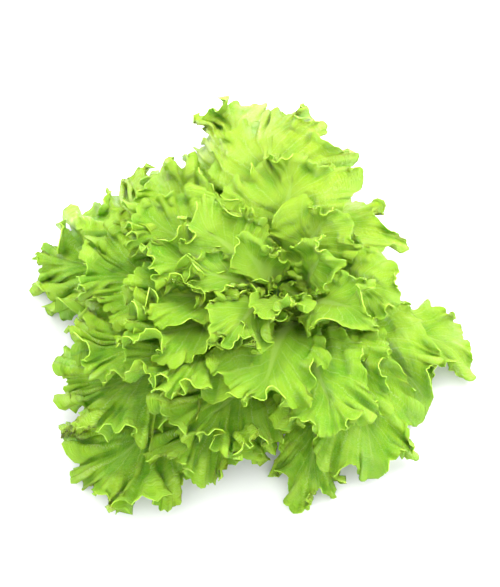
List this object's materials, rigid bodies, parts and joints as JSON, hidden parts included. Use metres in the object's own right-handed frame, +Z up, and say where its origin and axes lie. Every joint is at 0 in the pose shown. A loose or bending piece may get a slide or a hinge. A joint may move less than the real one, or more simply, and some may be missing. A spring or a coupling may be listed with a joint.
{
  "type": "curly green leaf lettuce",
  "caption": "Cut head of curly green salad leaves: frilled blades with pale ribs spread from a short stem and rest on its cut face.",
  "frame": {"origin": "centre of the stem's cut face, on the surface that the head rests on", "axes": "+Z up through the stem into the heart; +X to the right and +Y away in the picture's view from above"},
  "size_m": [0.3008, 0.3284, 0.1058],
  "materials": {
    "stem": "matt, pale green to cream, freshly cut",
    "leaf": "satin, fresh yellow green with paler ribs",
    "heart": "satin, pale yellow green"
  },
  "bodies": {
    "root": {"stem": "stem", "outer_leaf_01": "leaf", "outer_leaf_02": "leaf", "outer_leaf_03": "leaf", "outer_leaf_04": "leaf", "outer_leaf_05": "leaf", "outer_leaf_06": "leaf", "outer_leaf_07": "leaf", "outer_leaf_08": "leaf", "outer_leaf_09": "leaf", "outer_leaf_10": "leaf", "outer_leaf_11": "leaf", "outer_leaf_12": "leaf", "middle_leaf_01": "leaf", "middle_leaf_02": "leaf", "middle_leaf_03": "leaf", "middle_leaf_04": "leaf", "middle_leaf_05": "leaf", "middle_leaf_06": "leaf", "middle_leaf_07": "leaf", "middle_leaf_08": "leaf", "middle_leaf_09": "leaf", "middle_leaf_10": "leaf", "middle_leaf_11": "leaf", "middle_leaf_12": "leaf", "middle_leaf_13": "leaf", "middle_leaf_14": "leaf", "middle_leaf_15": "leaf", "middle_leaf_16": "leaf", "middle_leaf_17": "leaf", "heart_leaf_01": "heart", "heart_leaf_02": "heart", "heart_leaf_03": "heart", "heart_leaf_04": "heart", "heart_leaf_05": "heart", "heart_leaf_06": "heart"}
  },
  "joints": []
}
